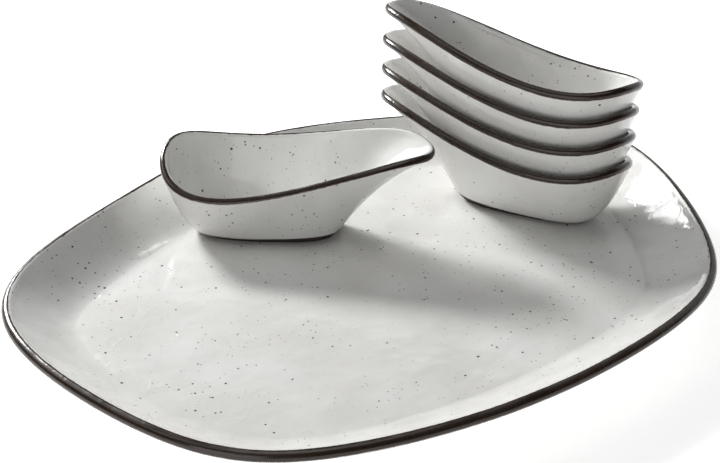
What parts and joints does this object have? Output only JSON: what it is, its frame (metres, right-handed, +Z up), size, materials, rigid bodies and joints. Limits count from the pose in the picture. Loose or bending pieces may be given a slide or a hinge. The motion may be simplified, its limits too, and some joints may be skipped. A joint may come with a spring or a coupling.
{
  "type": "chip and dip server",
  "caption": "Shallow freeform stoneware platter that serves chips, with matching lipped dip bowls that stand on it, loose or nested in a stack",
  "frame": {"origin": "on the table plane, under the middle of the platter's outline", "axes": "+Z up; +X along the platter's longer extent; +Y towards the side where the single bowl stands"},
  "size_m": [0.4377, 0.3343, 0.1308],
  "materials": {
    "glazed_stoneware": "glossy off-white speckled glaze with a dark brown rim band"
  },
  "bodies": {
    "platter": {"platter": "glazed_stoneware"},
    "single_dip_bowl": {"single_dip_bowl": "glazed_stoneware"},
    "stack_bowl_1": {"stack_bowl_1": "glazed_stoneware"},
    "stack_bowl_2": {"stack_bowl_2": "glazed_stoneware"},
    "stack_bowl_3": {"stack_bowl_3": "glazed_stoneware"},
    "stack_bowl_4": {"stack_bowl_4": "glazed_stoneware"}
  },
  "joints": [
    {"name": "single_bowl_lift", "type": "slide", "parent": "platter", "child": "single_dip_bowl", "axis": [0, 0, 1], "range_m": [0, 0.1]},
    {"name": "stack_bowl_1_lift", "type": "slide", "parent": "platter", "child": "stack_bowl_1", "axis": [0, 0, 1], "range_m": [0, 0.1]},
    {"name": "stack_bowl_2_lift", "type": "slide", "parent": "stack_bowl_1", "child": "stack_bowl_2", "axis": [0, 0, 1], "range_m": [0, 0.08]},
    {"name": "stack_bowl_3_lift", "type": "slide", "parent": "stack_bowl_2", "child": "stack_bowl_3", "axis": [0, 0, 1], "range_m": [0, 0.08]},
    {"name": "stack_bowl_4_lift", "type": "slide", "parent": "stack_bowl_3", "child": "stack_bowl_4", "axis": [0, 0, 1], "range_m": [0, 0.08]}
  ]
}
